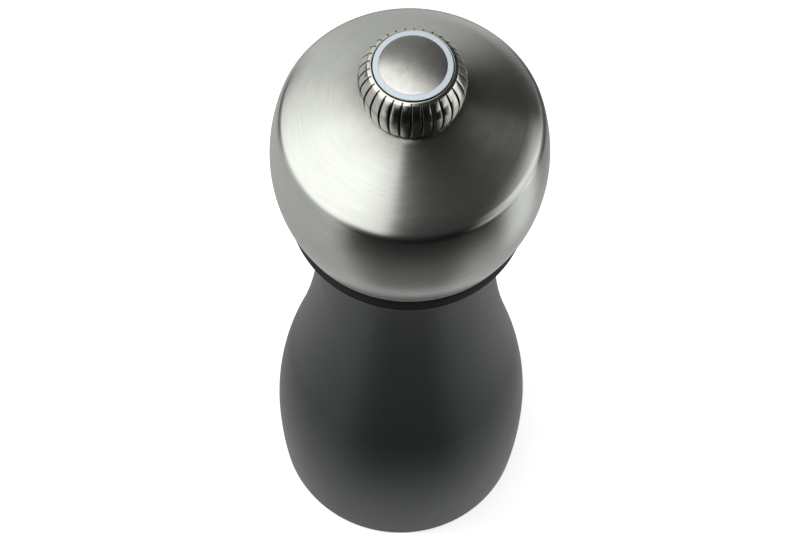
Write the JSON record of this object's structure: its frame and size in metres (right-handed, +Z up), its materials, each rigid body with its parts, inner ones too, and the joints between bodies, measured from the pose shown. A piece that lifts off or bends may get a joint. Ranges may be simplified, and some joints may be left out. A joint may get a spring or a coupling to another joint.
{
  "type": "salt mill",
  "caption": "Waisted salt mill: turned lacquered body, steel head that turns the grinder, and a fluted knob on top that sets the grind.",
  "frame": {"origin": "on the table, under the mill's axis", "axes": "+Z up along the axis; the part is round, and -Y is the side that the picture shows"},
  "size_m": [0.0676, 0.0676, 0.2],
  "materials": {
    "lacquered_wood": "satin dark graphite lacquer on turned wood",
    "black_plastic": "satin black moulding",
    "head_steel": "brushed round the axis",
    "knob_metal": "polished nickel",
    "disc_metal": "satin",
    "pale_enamel": "pale blue-white enamel",
    "insert_brass": "turned",
    "grinder_plastic": "hard off-white moulding that salt can't rust",
    "core_plastic": "dark grey moulding",
    "rod_aluminium": "drawn square rod",
    "stainless": "stainless sheet, wire and screws"
  },
  "bodies": {
    "body": {"body_shell": "lacquered_wood", "neck_bush": "black_plastic", "mechanism_housing": "core_plastic", "stator": "grinder_plastic", "bridge": "stainless", "base_screws": "stainless"},
    "carrier": {"shaft_bush": "grinder_plastic", "spring": "stainless"},
    "spindle": {"shaft": "rod_aluminium", "rotor": "grinder_plastic", "rotor_clip": "stainless", "spring_washer": "stainless"},
    "head": {"head_dome": "head_steel", "head_core": "core_plastic", "head_plug": "black_plastic", "head_ring": "black_plastic", "drive_plate": "stainless", "drive_screws": "stainless", "plug_screws": "stainless"},
    "knob": {"adjusting_knob": "knob_metal", "knob_insert": "insert_brass", "knob_disc": "disc_metal", "disc_ring": "pale_enamel", "knob_washer": "black_plastic"}
  },
  "joints": [
    {"name": "head_turn", "type": "hinge", "parent": "body", "child": "carrier", "pos_m": [0, 0, 0.028], "axis": [0, 0, 1], "continuous": true},
    {"name": "grind_gap", "type": "slide", "parent": "carrier", "child": "spindle", "axis": [0, 0, 1], "range_m": [-0.00121, 0.00041], "deforming": ["spring"]},
    {"name": "head_lift", "type": "slide", "parent": "carrier", "child": "head", "axis": [0, 0, 1], "range_m": [0, 0.075]},
    {"name": "knob_turn", "type": "hinge", "parent": "head", "child": "knob", "pos_m": [0, 0, 0.1863], "axis": [0, 0, -1], "range_deg": [-540, 180]}
  ],
  "couplings": [
    {"joint": "grind_gap", "follows": "knob_turn", "m_per_rad": 0.00012732}
  ]
}
